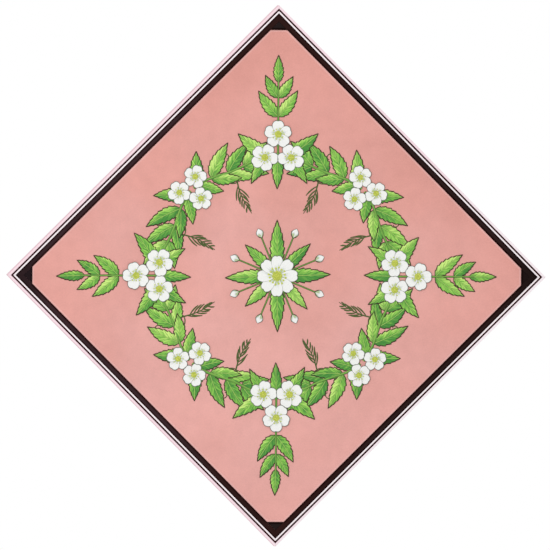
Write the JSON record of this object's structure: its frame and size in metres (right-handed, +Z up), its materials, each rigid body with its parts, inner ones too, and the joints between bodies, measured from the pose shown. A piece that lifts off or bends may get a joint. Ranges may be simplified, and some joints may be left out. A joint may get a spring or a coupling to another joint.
{
  "type": "hanging picture plaque",
  "caption": "Square picture plaque that hangs on one corner: low-relief floral wreath on a salmon panel, black rails with a white inlay, pale edging, strip hanger behind.",
  "frame": {"origin": "middle notch of the strip hanger, where the wall nail bears, taken to the plane of the wall", "axes": "+X to the viewer's right, +Y into the wall, +Z up; the picture faces -Y"},
  "size_m": [0.4312, 0.0152, 0.4312],
  "materials": {
    "plywood": "bare birch plywood, sanded",
    "ground_paint": "hardboard with flat salmon pink paint",
    "edging_paint": "wood strip with flat pale pink paint",
    "rail_paint": "wood with black paint, low sheen",
    "inlay_white": "thin white painted strip",
    "hanger_steel": "zinc plated, slightly worn",
    "bumper_rubber": "matt black rubber",
    "leaf_paint": "cut card with matt green paint and dark outline",
    "blossom_paint": "cut card with matt white paint and dark outline"
  },
  "bodies": {
    "root": {"back_board": "plywood", "picture_panel": "ground_paint", "edging_upper_left": "edging_paint", "rail_upper_left": "rail_paint", "inlay_upper_left": "inlay_white", "edging_lower_left": "edging_paint", "rail_lower_left": "rail_paint", "inlay_lower_left": "inlay_white", "edging_lower_right": "edging_paint", "rail_lower_right": "rail_paint", "inlay_lower_right": "inlay_white", "edging_upper_right": "edging_paint", "rail_upper_right": "rail_paint", "inlay_upper_right": "inlay_white", "corner_top": "rail_paint", "corner_left": "rail_paint", "corner_bottom": "rail_paint", "corner_right": "rail_paint", "hanger": "hanger_steel", "hanger_nail_left": "hanger_steel", "hanger_nail_right": "hanger_steel", "bumper_left": "bumper_rubber", "bumper_bottom": "bumper_rubber", "bumper_right": "bumper_rubber", "wreath_top": "leaf_paint", "wreath_left": "leaf_paint", "wreath_bottom": "leaf_paint", "wreath_right": "leaf_paint", "blossoms_top": "blossom_paint", "blossoms_left": "blossom_paint", "blossoms_bottom": "blossom_paint", "blossoms_right": "blossom_paint", "blossoms_upper_left": "blossom_paint", "blossoms_lower_left": "blossom_paint", "blossoms_lower_right": "blossom_paint", "blossoms_upper_right": "blossom_paint", "centre_leaves": "leaf_paint", "centre_blossom": "blossom_paint"}
  },
  "joints": []
}
